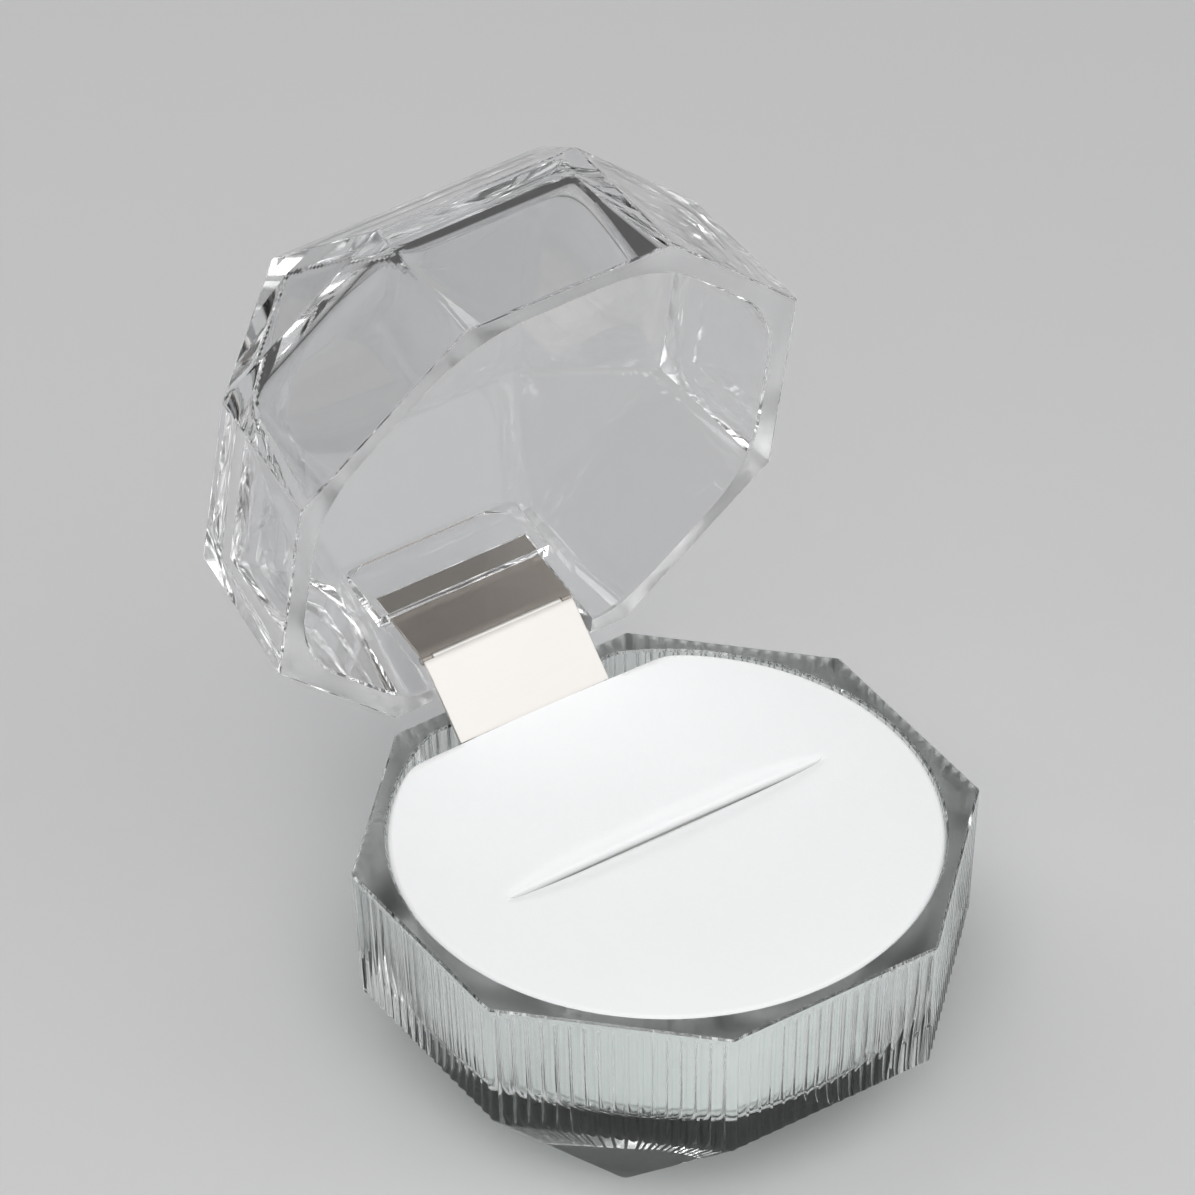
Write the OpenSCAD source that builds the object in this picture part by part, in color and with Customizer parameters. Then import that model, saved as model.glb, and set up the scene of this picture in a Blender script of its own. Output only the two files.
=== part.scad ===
// Clear moulded ring display box, shown with its lid open.
// Millimetres. Z is up, Y runs from the front to the hinge side, and the origin is the
// centre of the square foot on which the box stands.

/* [Plan] */
// Width of the box across its flat sides
box_w = 40; // [34:1:50]
// Depth cut off the octagon on the hinge side
back_trim = 1.2; // [0.8:0.1:2]
// Thickness of both back walls, inside the hinge
back_wall = 1.5; // [1.3:0.1:2]

/* [Base] */
// Height of the fluted wall
base_wall_h = 10.4; // [9:0.2:14]
// How far the fluted wall leans in, from the rim down
base_draft = 0.5; // [0.2:0.1:0.8]
// Height of the faceted foot
foot_h = 7.6; // [6:0.2:10]
// Width of the square that the box stands on
foot_w = 21.6; // [18:0.4:26]
// Thickness of the rim at the middle of a side
rim_wall = 1.1; // [0.9:0.1:1.6]
// Depth of the round well that holds the pad
well_depth = 9.3; // [7:0.1:10]
// How far the well narrows down to its floor
well_draft = 0.5; // [0.2:0.1:0.8]

/* [Flutes] */
// Distance from one flute to the next
flute_pitch = 0.97; // [0.8:0.01:1.6]
// Depth of a flute
flute_depth = 0.28; // [0.1:0.02:0.36]
// Plain land between the flutes and the rim
flute_land = 0.4; // [0.2:0.1:1]

/* [Lid] */
// Height of the lid's upright wall
lid_wall_h = 11; // [9:0.2:14]
// How far the lid's wall leans in, from the rim up
lid_draft = 0.9; // [0.4:0.1:1.2]
// Height of the faceted crown
crown_h = 7.2; // [6:0.2:10]
// Width of the square table on top
table_w = 21.6; // [18:0.4:26]
// Wall thickness at the middle of a flat inner panel, at the rim
panel_wall = 1.5; // [1.3:0.1:2.2]
// How far a flat inner panel leans in over the wall
panel_draft = 1.6; // [1.2:0.1:2]
// Thickness of the crown under the table
crown_wall = 2.2; // [1.6:0.1:3]
// How far the round cavity narrows by the top of the wall
cavity_draft = 0.6; // [0.4:0.1:1.2]
// Gap between the two rims when the lid is shut
rim_gap = 0.1; // [0.05:0.05:0.2]

/* [Pad] */
// Gap between the pad and the wall of the well
pad_gap = 0.1; // [0.1:0.05:0.5]
// Depth of the pad's shoulder below the rim
pad_sink = 0.1; // [0.1:0.05:0.4]
// Height of the pad's soft crown over its shoulder
pad_crown = 0.5; // [0.1:0.1:0.8]
// Radius of the pad's rounded edge
pad_edge_r = 0.4; // [0.4:0.1:1.5]
// Room for the swinging stay plate between the pad and the back wall
pad_back_gap = 1.7; // [1.7:0.1:2.4]
// Length of the slit
slit_l = 25; // [18:0.5:28]
// Width of the slit
slit_w = 1.2; // [0.8:0.1:2]
// Depth of the slit
slit_depth = 6.5; // [4:0.5:7]
// Thickness of the flocked cover
cover_t = 0.3; // [0.2:0.05:0.5]
// How far the flocked cover is turned down round the foam
cover_drop = 8; // [2:0.5:8]

/* [Hinge] */
// Opening angle of the lid
open_angle = 79; // [60:1:90]
// Distance of the hinge axis behind the back walls
hinge_out = 0.7; // [0.6:0.05:0.9]
// Height of the hinge axis above the rim
hinge_up = 0.7; // [0.6:0.05:0.9]
// Length of the hinge barrel
hinge_w = 9.6; // [8:0.2:11]
// Radius of the hinge pin
pin_r = 0.5; // [0.4:0.05:0.55]
// Radial clearance of both hinge pins in their knuckles
pin_clear = 0.04; // [0.02:0.01:0.06]
// Thickness of the hinge leaves
leaf_t = 0.5; // [0.4:0.05:0.6]
// Height of each leaf's plate
leaf_h = 3.6; // [3:0.1:4.2]
// Gap between neighbouring knuckles
knuckle_gap = 0.1; // [0.05:0.05:0.2]
// Gap between the barrel and the notches round it
notch_gap = 0.3; // [0.2:0.05:0.35]
// Radius of the pegs that hold the leaves
peg_r = 0.6; // [0.5:0.05:0.8]

/* [Cover band] */
// Width of the band of sheet that hides the hinge
band_w = 12.2; // [10.5:0.1:13]
// Thickness of the band's sheet
band_t = 0.25; // [0.2:0.05:0.3]
// Distance of the band's front face from the inside of the back wall
band_out = 0.65; // [0.6:0.05:0.8]
// Height of the crease above the rim when the lid is shut
crease_up = 2.38; // [2.2:0.02:2.6]
// Radius of the thin pin in the crease
crease_pin_r = 0.18; // [0.15:0.01:0.2]
// Width of the ear at each end of the crease
ear_w = 0.8; // [0.6:0.1:1.2]
// Height of the band's fixed half, from the crease to the block that holds it
fixed_h = 3.9; // [3.5:0.1:4.4]
// How far the fixed half reaches into its slot
tuck = 1.8; // [1:0.1:2.4]
// Length of the swinging half, from the crease to its free end
stay_l = 6.2; // [5.8:0.1:6.4]
// Lean of the swinging half when the lid is open
stay_lean = 46.6; // [35:0.2:48]
// Height of the clear block that holds the band
block_h = 5.3; // [4.6:0.1:5.8]

/* [Hidden] */
$fn = 72;

// A slice thin enough to count as a flat outline
skin = 0.01;
// How far a cutter runs past the face it cuts
past = 1;
half_w = box_w / 2;
back_y = half_w - back_trim;
inner_back_y = back_y - back_wall;
rim_z = foot_h + base_wall_h;
well_r = half_w - rim_wall;
well_floor = rim_z - well_depth;

lid_z = rim_z + rim_gap;
wall_top_z = lid_z + lid_wall_h;
table_z = wall_top_z + crown_h;
ceiling_z = table_z - crown_wall;

hinge_y = back_y + hinge_out;
hinge_z = rim_z + hinge_up;
knuckle_r = pin_r + pin_clear + leaf_t;
notch_r = knuckle_r + notch_gap;
leaf_y = hinge_y - knuckle_r;
// Shares of the barrel: the middle knuckle's length, and the pegs' distance from the middle
mid_share = 0.42;
peg_share = 0.32;
mid_knuckle = mid_share * hinge_w;
end_knuckle = (hinge_w - mid_knuckle) / 2 - knuckle_gap;
leaf_side_gap = 0.1;
leaf_lift = 0.05;
peg_x = peg_share * hinge_w;
peg_gap = 0.05;
peg_root = 0.3;
peg_head = 0.25;
peg_head_r = peg_r + 0.4;

// Share of the sheet's thickness left round the crease pin's bore
roll_share = 0.8;
crease_r = crease_pin_r + pin_clear + band_t * roll_share;
band_y = inner_back_y - band_out;
crease_y = band_y + crease_r;
crease_z = rim_z + crease_up;
band_gap = 0.1;
ear_gap = 0.05;
stay_turn = open_angle - stay_lean;

recess_gap = 0.4;
block_margin = 0.85;
block_skin = 0.7;
block_w = band_w + 2 * block_margin;
block_front = band_y - block_skin;
block_z = crease_z + fixed_h;
block_corner = [1.9, 0.9];
slot_gap = 0.05;

pad_r = well_r - pad_gap;
pad_top = rim_z - pad_sink;
pad_back_y = inner_back_y - pad_back_gap;
cover_gap = 0.05;

// Corners of the octagon, trimmed on the hinge side: half its width, and the hinge side's place
function plan(half, back) = [
    for (k = [0:7])
        let (corner = half / cos(22.5), x = corner * cos(22.5 + 45 * k), y = corner * sin(22.5 + 45 * k))
        y > back ? [sign(x) * (half * (1 + tan(22.5)) - back), back] : [x, y]
];

// Corners of a square of the given width
function square_plan(w) = [for (c = [[1, 1], [-1, 1], [-1, -1], [1, -1]]) c * w / 2];

// The same outline with shallow grooves, pitch apart, cut along every side
function fluted(corners, pitch, depth) = [
    for (i = [0:len(corners) - 1])
        let (
            a = corners[i],
            b = corners[(i + 1) % len(corners)],
            along = b - a,
            side = norm(along),
            inward = [-along.y, along.x] / side,
            count = floor(side / pitch),
            margin = (1 - count * pitch / side) / 2
        )
        each [
            a,
            for (k = [0:count - 1], step = [[0.1, 0], [0.32, 0.85], [0.5, 1], [0.68, 0.85], [0.9, 0]])
                a + along * (margin + (k + step[0]) * pitch / side) + inward * depth * step[1]
        ]
];

// A thin slice of an outline, with its top face at z
module slice_below(corners, z) {
    translate([0, 0, z - skin])
        linear_extrude(skin)
            polygon(corners);
}

// A thin slice of an outline, with its bottom face at z
module slice_above(corners, z) {
    translate([0, 0, z])
        linear_extrude(skin)
            polygon(corners);
}

// A straight round bar along X, centred on x
module bar_x(r, length, x, y, z) {
    translate([x - length / 2, y, z])
        rotate([0, 90, 0])
            cylinder(r = r, h = length);
}

// A straight round bar along Y, from y0 to y1
module bar_y(r, x, y0, y1, z) {
    translate([x, y1, z])
        rotate([90, 0, 0])
            cylinder(r = r, h = y1 - y0);
}

// Swings what is drawn for the shut lid to the open position
module open_lid() {
    translate([0, hinge_y, hinge_z])
        rotate([-open_angle, 0, 0])
            translate([0, -hinge_y, -hinge_z])
                children();
}

// Leans what is drawn for the shut stay plate forward in the open lid
module lean_stay() {
    open_lid()
        translate([0, crease_y, crease_z])
            rotate([stay_turn, 0, 0])
                translate([0, -crease_y, -crease_z])
                    children();
}

// The cut that both shells have round the hinge barrel
module barrel_notch() {
    bar_x(notch_r, hinge_w + 2 * notch_gap, 0, hinge_y, hinge_z);
}

// Two pegs that hold a leaf, staked over its outside
module pegs(z) {
    for (side = [-1, 1]) {
        bar_y(peg_r, side * peg_x, leaf_y - peg_root, leaf_y + leaf_t + peg_head, z);
        bar_y(peg_head_r, side * peg_x, leaf_y + leaf_t, leaf_y + leaf_t + peg_head, z);
    }
}

base_leaf_top = hinge_z - notch_r - leaf_lift;
base_peg_z = base_leaf_top - leaf_h / 2;
lid_leaf_bottom = hinge_z + notch_r + leaf_lift;
lid_peg_z = lid_leaf_bottom + leaf_h / 2;

// Clear base: fluted wall over a faceted foot, with a round well for the pad
module base_shell() {
    foot_plan = plan(half_w - base_draft, back_y * (1 - base_draft / half_w));
    wall_scale = half_w / (half_w - base_draft);
    color("aliceblue", 0.4) {
        difference() {
            union() {
                hull() {
                    slice_below(foot_plan, foot_h + skin);
                    slice_above(square_plan(foot_w), 0);
                }
                translate([0, 0, foot_h])
                    linear_extrude(base_wall_h - flute_land, scale = wall_scale)
                        polygon(fluted(foot_plan, flute_pitch, flute_depth));
                translate([0, 0, rim_z - flute_land])
                    linear_extrude(flute_land)
                        polygon(plan(half_w, back_y));
            }
            intersection() {
                translate([0, 0, well_floor])
                    cylinder(r1 = well_r - well_draft, r2 = well_r + well_draft * past / well_depth,
                        h = well_depth + past);
                translate([-half_w, -half_w, well_floor])
                    cube([box_w, half_w + inner_back_y, well_depth + past]);
            }
            barrel_notch();
            translate([-hinge_w / 2 - leaf_side_gap, leaf_y, base_leaf_top - leaf_h - leaf_side_gap])
                cube([hinge_w + 2 * leaf_side_gap, half_w, leaf_h + notch_r]);
        }
        pegs(base_peg_z);
    }
}

// Everything cut from the lid, drawn shut: room for the hinge, the band and its swing
module lid_cuts() {
    recess_w = band_w + 2 * recess_gap;
    barrel_notch();
    translate([-recess_w / 2, band_y, lid_z - past])
        cube([recess_w, 2 * crease_r + band_gap, block_z - lid_z + past]);
    translate([0, crease_y, crease_z])
        rotate([stay_turn, 0, 0])
            translate([-recess_w / 2, -stay_l / 2, -stay_l])
                cube([recess_w, stay_l / 2 + crease_r + band_gap, stay_l]);
    translate([-hinge_w / 2 - leaf_side_gap, leaf_y, lid_leaf_bottom - notch_r])
        cube([hinge_w + 2 * leaf_side_gap, half_w, leaf_h + notch_r + leaf_side_gap]);
    translate([-band_w / 2 - slot_gap, band_y - slot_gap, block_z - past])
        cube([band_w + 2 * slot_gap, band_t + 2 * slot_gap, tuck + slot_gap + past]);
}

// The lid's hollow, drawn shut: a round cavity cut flat by eight panels and a faceted ceiling
module lid_hollow() {
    panel_half = half_w - panel_wall;
    intersection() {
        translate([0, 0, lid_z - past])
            cylinder(r1 = well_r + cavity_draft * past / lid_wall_h,
                r2 = well_r - cavity_draft * (ceiling_z - lid_z) / lid_wall_h, h = ceiling_z - lid_z + past);
        hull() {
            slice_above(plan(panel_half, inner_back_y), lid_z - past);
            slice_above(plan(panel_half - panel_draft, inner_back_y), wall_top_z - crown_wall / 2);
            slice_below(square_plan(table_w - crown_wall), ceiling_z);
        }
    }
}

// Clear block inside the lid's back wall, which holds the band
module band_block() {
    side = block_w / 2;
    step = side - block_corner.x;
    shoulder = block_h - block_corner.y;
    depth = inner_back_y + back_wall / 2 - block_front;
    translate([0, block_front + depth, block_z])
        rotate([90, 0, 0])
            linear_extrude(depth)
                polygon([[-side, 0], [side, 0], [side, shoulder], [step, block_h], [-step, block_h],
                    [-side, shoulder]]);
}

// Clear lid: upright wall under a faceted crown
module lid_shell() {
    lid_scale = 1 - lid_draft / half_w;
    color("aliceblue", 0.4)
        open_lid() {
            difference() {
                union() {
                    difference() {
                        hull() {
                            slice_above(plan(half_w, back_y), lid_z);
                            slice_below(plan(half_w * lid_scale, back_y * lid_scale), wall_top_z);
                            slice_below(square_plan(table_w), table_z);
                        }
                        lid_hollow();
                    }
                    band_block();
                }
                lid_cuts();
            }
            pegs(lid_peg_z);
        }
}

// Outline of the pad from its middle to its side, turned down round a soft edge
function pad_outline(r, top, bottom, edge_r, crown) = concat(
    [[0, bottom], [r - well_draft * (top - bottom) / well_depth, bottom]],
    [for (a = [0:15:75]) [r - edge_r * (1 - cos(a)), top - edge_r * (1 - sin(a))]],
    [for (s = [1:-0.2:0]) [(r - edge_r) * s, top + crown * (1 - pow(s, 4))]]
);

// A pad cut straight along the hinge side, with its slit
module pad_form(r, top, bottom, edge_r, back) {
    difference() {
        intersection() {
            rotate_extrude()
                polygon(pad_outline(r, top, bottom, edge_r, pad_crown));
            translate([-half_w, -half_w, bottom])
                cube([box_w, half_w + back, base_wall_h + foot_h]);
        }
        translate([-slit_l / 2, -slit_w / 2, pad_top - slit_depth])
            cube([slit_l, slit_w, slit_depth + past]);
    }
}

// Foam block that fills the well
module pad_foam() {
    color("white")
        pad_form(pad_r - cover_t - cover_gap, pad_top - cover_t - cover_gap, well_floor,
            pad_edge_r - cover_t, pad_back_y - cover_t - cover_gap);
}

// Flocked cover over the foam, turned down at its edge
module pad_cover() {
    color("whitesmoke")
        difference() {
            pad_form(pad_r, pad_top, pad_top - cover_drop, pad_edge_r, pad_back_y);
            pad_form(pad_r - cover_t, pad_top - cover_t, pad_top - cover_drop - past, pad_edge_r - cover_t,
                pad_back_y - cover_t);
        }
}

// One leaf's plate with its two peg holes, centred on its width
module leaf_plate(z) {
    difference() {
        translate([-hinge_w / 2, leaf_y, z])
            cube([hinge_w, leaf_t, leaf_h]);
        for (side = [-1, 1])
            bar_y(peg_r + peg_gap, side * peg_x, leaf_y - past, leaf_y + leaf_t + past, z + leaf_h / 2);
    }
}

// A knuckle and the strap that joins it to its plate, which ends at height z
module knuckle(x, length, z) {
    difference() {
        union() {
            bar_x(knuckle_r, length, x, hinge_y, hinge_z);
            translate([x - length / 2, leaf_y, min(z, hinge_z)])
                cube([length, leaf_t, abs(z - hinge_z)]);
        }
        bar_x(pin_r + pin_clear, length + past, x, hinge_y, hinge_z);
    }
}

// Leaf on the base, with a knuckle at each end of the barrel
module hinge_base_leaf() {
    color("silver") {
        leaf_plate(base_leaf_top - leaf_h);
        for (side = [-1, 1])
            knuckle(side * (hinge_w - end_knuckle) / 2, end_knuckle, base_leaf_top);
    }
}

// Leaf on the lid, with the knuckle at the middle of the barrel
module hinge_lid_leaf() {
    color("silver")
        open_lid() {
            leaf_plate(lid_leaf_bottom);
            knuckle(0, mid_knuckle, lid_leaf_bottom);
        }
}

// Pin that the lid swings on
module hinge_pin() {
    color("gainsboro")
        bar_x(pin_r, hinge_w, 0, hinge_y, hinge_z);
}

// The sheet of one half of the band, from the crease to z1, with room for the other half's tube
module band_sheet(z0, z1, room_w, room_x) {
    difference() {
        translate([-band_w / 2, band_y, min(z0, z1)])
            cube([band_w, band_t, abs(z1 - z0)]);
        for (x = room_x)
            bar_x(crease_r + pin_clear, room_w, x, crease_y, crease_z);
    }
}

// Bore through the whole crease
module crease_bore() {
    bar_x(crease_pin_r + pin_clear, band_w + past, 0, crease_y, crease_z);
}

ear_x = (band_w - ear_w) / 2;
tube_w = band_w - 2 * (ear_w + ear_gap);

// Fixed half of the cover band, pushed into its slot in the lid, with an ear at each end
module cover_plate() {
    color("rosybrown")
        open_lid()
            difference() {
                union() {
                    band_sheet(crease_z, block_z + tuck, tube_w + 2 * ear_gap, [0]);
                    for (side = [-1, 1])
                        bar_x(crease_r, ear_w, side * ear_x, crease_y, crease_z);
                }
                crease_bore();
            }
}

// Swinging half of the cover band: a rolled tube in the crease, and a free end behind the pad
module stay_plate() {
    color("lightgray")
        lean_stay()
            difference() {
                union() {
                    band_sheet(crease_z, crease_z - stay_l, ear_w + 2 * ear_gap, [-ear_x, ear_x]);
                    bar_x(crease_r, tube_w, 0, crease_y, crease_z);
                }
                crease_bore();
            }
}

// Thin pin in the crease
module stay_pin() {
    color("gray")
        open_lid()
            bar_x(crease_pin_r, band_w, 0, crease_y, crease_z);
}

base_shell();
lid_shell();
pad_foam();
pad_cover();
hinge_base_leaf();
hinge_lid_leaf();
hinge_pin();
cover_plate();
stay_plate();
stay_pin();
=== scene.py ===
import math

import bmesh
import bpy
import numpy as np
from mathutils import Matrix


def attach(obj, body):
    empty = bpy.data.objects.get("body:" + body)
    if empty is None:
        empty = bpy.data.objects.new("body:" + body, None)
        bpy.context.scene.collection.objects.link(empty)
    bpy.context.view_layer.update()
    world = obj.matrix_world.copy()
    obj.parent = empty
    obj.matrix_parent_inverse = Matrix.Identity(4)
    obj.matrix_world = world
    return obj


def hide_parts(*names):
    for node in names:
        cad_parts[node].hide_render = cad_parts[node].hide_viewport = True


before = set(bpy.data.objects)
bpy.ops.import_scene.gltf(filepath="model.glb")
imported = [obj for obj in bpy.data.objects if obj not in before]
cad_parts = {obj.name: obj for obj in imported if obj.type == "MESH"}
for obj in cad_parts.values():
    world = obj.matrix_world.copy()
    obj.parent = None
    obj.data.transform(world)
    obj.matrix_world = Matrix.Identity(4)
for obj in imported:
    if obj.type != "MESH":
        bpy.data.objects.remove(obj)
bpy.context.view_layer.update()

bl_info = {
    "name": "Ring display box",
    "version": (1, 0, 0),
    "blender": (4, 5, 0),
    "location": "3D View > Sidebar > Ring box",
    "description": "Clear octagonal ring display box with a slit pad, on a plain stage",
    "category": "Add Mesh",
}

MM = 0.001
EIGHTH = math.pi / 4
# Faces that meet at less than this are shaded as one smooth surface
SOFT_TURN = math.radians(6)
FLUTE_TURN = math.radians(28)
METAL_TURN = math.radians(20)
FABRIC_TURN = math.radians(60)
# Points nearer than this are one point
WELD = 1e-7
# How far a cutting piece runs past the face that it opens
PAST = 0.5 * MM
# Room round a leaf in its pocket, and round the band in its slot
POCKET_ROOM = 0.1 * MM
SLOT_ROOM = 0.05 * MM
# Gap along Z between the notch round the barrel and a leaf's plate
LEAF_GAP = 0.05 * MM
# Chamfer on the ends of the band's round pieces, and of what cuts room for them
ROLL_EDGE = 0.04 * MM
CUT_EDGE = 0.01 * MM
# Share of the cover's thickness that is flock; the rest is air between it and the foam
FLOCK_SHARE = 0.9
# Roughness of polished and of matt moulded plastic
POLISHED = 0.012
MATT = 0.32


def length(name, description, millimetres):
    """A size property, given in millimetres and kept in metres."""
    return bpy.props.FloatProperty(
        name=name, description=description, default=millimetres * MM, unit="LENGTH", precision=5
    )


def turn(name, description, degrees):
    """An angle property, given in degrees."""
    return bpy.props.FloatProperty(
        name=name, description=description, default=math.radians(degrees), subtype="ANGLE"
    )


def tint(name, description, colour):
    """A colour property with red, green and blue from 0 to 1."""
    return bpy.props.FloatVectorProperty(
        name=name, description=description, default=colour, size=3, min=0, max=1, subtype="COLOR"
    )


def amount(name, description, value):
    """A plain number."""
    return bpy.props.FloatProperty(name=name, description=description, default=value)


class BoxSizes(bpy.types.PropertyGroup):
    """Sizes of the two clear shells."""

    half: length("Half width", "Half the width across the flat sides", 20)
    back: length("Back", "Distance of the back walls from the middle", 18.8)
    inner_back: length("Inner back", "Distance of the inside of the back walls", 17.3)
    rim_z: length("Rim height", "Height of the base's rim", 18)
    foot_h: length("Foot height", "Height of the faceted foot", 7.6)
    foot_w: length("Foot width", "Width of the square the box stands on", 21.6)
    base_draft: length("Base draft", "How far the fluted wall leans in towards the foot", 0.5)
    flute_pitch: length("Flute pitch", "Distance from one flute to the next", 0.97)
    flute_depth: length("Flute depth", "Depth of a flute", 0.28)
    flute_land: length("Flute land", "Plain land between the flutes and the rim", 0.4)
    well_r: length("Well radius", "Radius of the round well at the rim", 18.9)
    well_depth: length("Well depth", "Depth of the round well", 9.3)
    well_draft: length("Well draft", "How far the well narrows down to its floor", 0.5)
    lid_z: length("Lid rim", "Height of the lid's rim when it is shut", 18.1)
    lid_wall_h: length("Lid wall", "Height of the lid's upright wall", 11)
    lid_draft: length("Lid draft", "How far the lid's wall leans in towards the crown", 0.9)
    crown_h: length("Crown height", "Height of the faceted crown", 7.2)
    table_w: length("Table width", "Width of the square table on the crown", 21.6)
    panel_wall: length("Panel wall", "Wall thickness at the middle of a flat inner panel", 1.5)
    panel_draft: length("Panel draft", "How far a flat inner panel leans in over the wall", 1.6)
    crown_wall: length("Crown wall", "Thickness of the crown under the table", 2.2)
    hollow_draft: length("Hollow draft", "How far the round hollow narrows over the wall", 0.6)
    sharpness: amount("Sharpness", "How tight the lid's inner corners are rounded", 110)
    kink_soft: length("Soft turn", "Height over which the inner panels turn to the crown", 0.9)
    edge: length("Edge", "Width of the small bevel along moulded edges", 0.14)


class HingeSizes(bpy.types.PropertyGroup):
    """Sizes of the hinge and of the room for it."""

    axis_y: length("Axis depth", "Distance of the hinge axis from the middle", 19.5)
    axis_z: length("Axis height", "Height of the hinge axis", 18.7)
    open_angle: turn("Opening angle", "How far the lid is swung open", 79)
    width: length("Hinge width", "Length of the hinge barrel", 9.6)
    knuckle_r: length("Knuckle radius", "Radius of the hinge's knuckles", 1.04)
    notch_r: length("Notch radius", "Radius of the notch round the barrel", 1.34)
    leaf_t: length("Leaf thickness", "Thickness of the hinge leaves", 0.5)
    leaf_h: length("Leaf height", "Height of each leaf's plate", 3.6)
    peg_r: length("Peg radius", "Radius of the pegs that hold the leaves", 0.6)
    peg_head: length("Peg head", "Height of a staked peg's head", 0.25)


class BandSizes(bpy.types.PropertyGroup):
    """Sizes of the folded band of sheet that hides the hinge, drawn shut."""

    width: length("Band width", "Width of the band", 12.2)
    sheet: length("Sheet", "Thickness of the band's sheet", 0.25)
    front: length("Front", "Distance of the band's front face from the middle", 16.65)
    crease_y: length("Crease depth", "Distance of the crease's pin from the middle", 17.07)
    roll_r: length("Roll radius", "Radius of the rolled tube in the crease", 0.33)
    bend: length("Bend", "Length over which each half bends towards the crease", 0.67)
    bend_r: length("Bend radius", "Radius of that bend", 2.3)
    crease_z: length("Crease height", "Height of the crease", 20.38)
    pin_room: length("Pin room", "Radius of the bore for the pin in the crease", 0.22)
    ear_w: length("Ear width", "Width of the ear at each end of the crease", 0.8)
    gap: length("Gap", "Gap between an ear and the rolled tube", 0.05)
    fixed_h: length("Fixed half", "Height of the fixed half up to its block", 3.9)
    tuck: length("Tuck", "How far the fixed half reaches into its slot", 1.8)
    stay_l: length("Swinging half", "Length of the swinging half", 6.2)
    stay_turn: turn("Stay turn", "How far the swinging half is turned in the open lid", 32.4)
    block_h: length("Block height", "Height of the clear block that holds the band", 5.3)


class PadSizes(bpy.types.PropertyGroup):
    """Sizes of the soft pad and its flocked cover."""

    radius: length("Pad radius", "Radius of the pad", 18.8)
    top: length("Pad top", "Height of the pad's shoulder", 17.92)
    crown: length("Crown", "Height of the pad's soft crown over its shoulder", 0.5)
    edge_r: length("Edge radius", "Radius of the pad's rounded edge", 0.4)
    foot_r: length("Foot radius", "Radius of the rounded edge under the foam", 1.1)
    back: length("Back", "Distance of the pad's straight back edge", 15.6)
    slit_l: length("Slit length", "Length of the slit", 25)
    slit_w: length("Slit width", "Width of the slit between its soft lips", 0.5)
    slit_depth: length("Slit depth", "Depth of the slit", 6.5)
    lip_r: length("Lip radius", "Radius of the slit's soft lips", 0.4)
    cover_t: length("Cover thickness", "Thickness of the flocked cover", 0.3)
    cover_drop: length("Cover drop", "How far the cover is turned down round the foam", 8)


class Finishes(bpy.types.PropertyGroup):
    """Colours of the pieces."""

    # Partly the plastic's own faint tint, partly painted shade: a grey-green for the shaded pad and
    # darker surroundings seen through the base
    base_tint_and_shade: tint("Base", "Tint of the clear base", (0.9, 0.932, 0.92))
    rim_clear: tint("Rim", "Tint of the matt rim of the base", (1.0, 1.0, 1.0))
    # Partly the plastic's own faint tint, partly painted shade: a grey that stands in for darker
    # surroundings seen through the lid
    lid_tint_and_shade: tint("Lid", "Tint of the clear lid", (0.935, 0.94, 0.945))
    flock: tint("Flock", "Colour of the pad's flocked cover", (0.885, 0.89, 0.895))
    foam: tint("Foam", "Colour of the foam", (0.88, 0.885, 0.87))
    band: tint("Band", "Plated sheet of the band's swinging half", (0.86, 0.83, 0.795))
    # Painted shade: the fixed half is the same plated sheet as the swinging half, given a darker
    # colour for the darker surroundings that it mirrors
    band_shaded: tint("Dark band", "Duller plated sheet of the band's fixed half", (0.44, 0.4, 0.36))
    steel: tint("Steel", "Hinge leaves and pins", (0.72, 0.72, 0.73))


class StageSettings(bpy.types.PropertyGroup):
    """Floor, lamps and camera."""

    floor: tint("Floor", "Colour of the floor", (0.62, 0.62, 0.625))
    world: amount("World", "Brightness of the surroundings", 0.3)
    key: amount("Key", "Power of the key lamp, in watts", 3.45)
    fill: amount("Fill", "Power of the fill lamp, in watts", 0.48)
    top: amount("Top", "Power of the lamp overhead, in watts", 1.1)
    azimuth: turn("Azimuth", "Camera's direction round the box", -33.887)
    elevation: turn("Elevation", "Camera's height over the horizon", 39.936)
    roll: turn("Roll", "Camera's roll", -0.266)
    distance: length("Distance", "Camera's distance from its target", 889.5)
    lens: amount("Lens", "Focal length, in millimetres on a sensor 36 mm wide", 386.8)


# Shapes: arrays of points on grids


def plan(half, back):
    """Corners of a regular octagon with its flat sides at `half`. Its hinge side is at y = back.
    The corners past it slide there along their slanted sides, to x = half (1 + tan 22.5) - back."""
    angle = EIGHTH * (np.arange(8) + 0.5)
    corners = half / math.cos(EIGHTH / 2) * np.stack([np.cos(angle), np.sin(angle)], 1)
    past = corners[:, 1] > back + 1e-9
    slid = np.sign(corners[:, 0]) * (half * (1 + math.tan(EIGHTH / 2)) - back)
    return np.where(past[:, None], np.stack([slid, np.full(8, back)], 1), corners)


def square(width):
    """Corners of a square, each given twice, so that they pair with the octagon's corners."""
    angle = EIGHTH * (2 * (np.arange(8) // 2) + 1)
    return width / 2 * np.sign(np.stack([np.cos(angle), np.sin(angle)], 1))


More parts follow.
